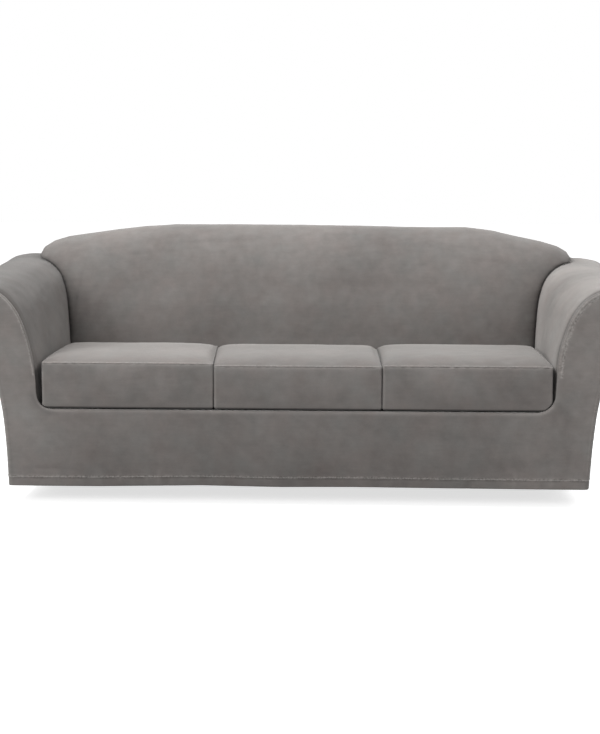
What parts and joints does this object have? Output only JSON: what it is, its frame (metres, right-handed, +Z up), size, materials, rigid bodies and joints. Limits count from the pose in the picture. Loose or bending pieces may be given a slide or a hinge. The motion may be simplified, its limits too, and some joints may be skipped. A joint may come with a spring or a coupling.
{
  "type": "sofa slipcover",
  "caption": "Fitted sofa slipcover of taupe-grey stretch plush with flared rolled arms, a rounded back and loose seat cushion covers, hollow, without the sofa.",
  "frame": {"origin": "place under the middle of the back's top where the sofa holds the cover up", "axes": "+X along the sofa to the right as seen from the front, +Y from the front panel towards the back, +Z up"},
  "size_m": [2.3091, 0.8677, 0.8423],
  "materials": {
    "plush": "matt short-pile stretch plush"
  },
  "bodies": {
    "root": {"front_panel": "plush", "sleeve_left": "plush", "sleeve_right": "plush", "inside_back": "plush", "outside_back": "plush", "seat_deck": "plush", "cushion_left_top": "plush", "cushion_left_boxing": "plush", "cushion_middle_top": "plush", "cushion_middle_boxing": "plush", "cushion_right_top": "plush", "cushion_right_boxing": "plush"}
  },
  "joints": []
}
